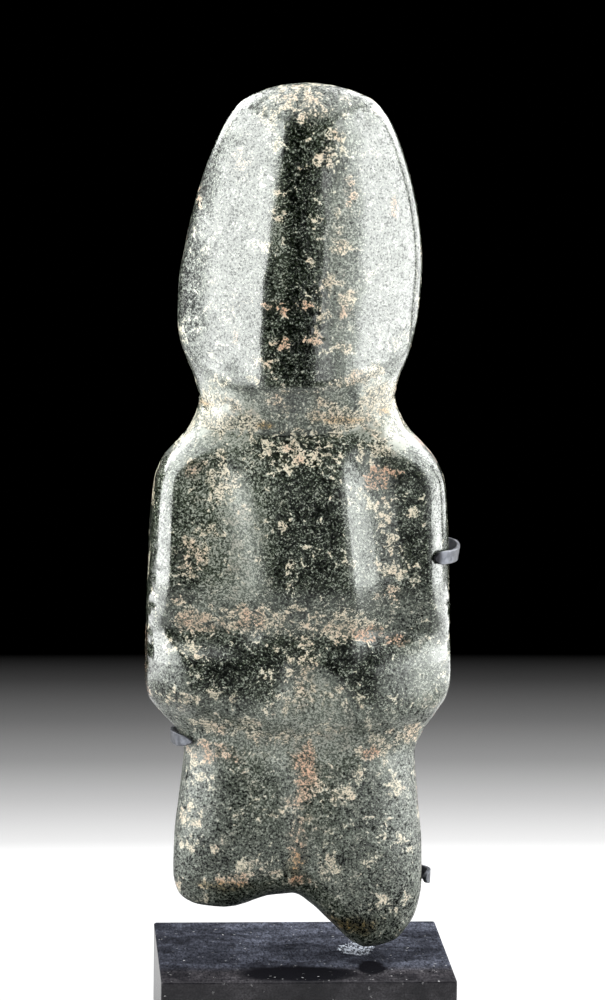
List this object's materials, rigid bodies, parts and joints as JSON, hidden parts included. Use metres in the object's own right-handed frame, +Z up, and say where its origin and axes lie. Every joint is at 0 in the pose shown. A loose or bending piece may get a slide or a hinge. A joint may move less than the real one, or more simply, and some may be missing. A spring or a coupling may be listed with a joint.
{
  "type": "carved stone figure on display stand",
  "caption": "Polished greenstone figure worked from an axe blank, with a plain head, angled arms and wedge feet, held upright by steel hooks on a black display block.",
  "frame": {"origin": "the middle of the block's underside, where the stand rests", "axes": "+Z up; the figure's front faces -Y; +X is to the viewer's right"},
  "size_m": [0.0954, 0.0762, 0.2918],
  "materials": {
    "greenstone": "dark green stone with fine grey and cream speckles, polished on its faces, with cream and ochre earth left in the hollows",
    "black_block": "satin black, with fine dust and light scratches",
    "dark_steel": "darkened steel strip and rod, worn brighter along its edges"
  },
  "bodies": {
    "root": {"stone_figure": "greenstone", "base_block": "black_block", "support_post": "dark_steel", "torso_hook": "dark_steel", "waist_hook": "dark_steel", "foot_hook": "dark_steel"}
  },
  "joints": []
}
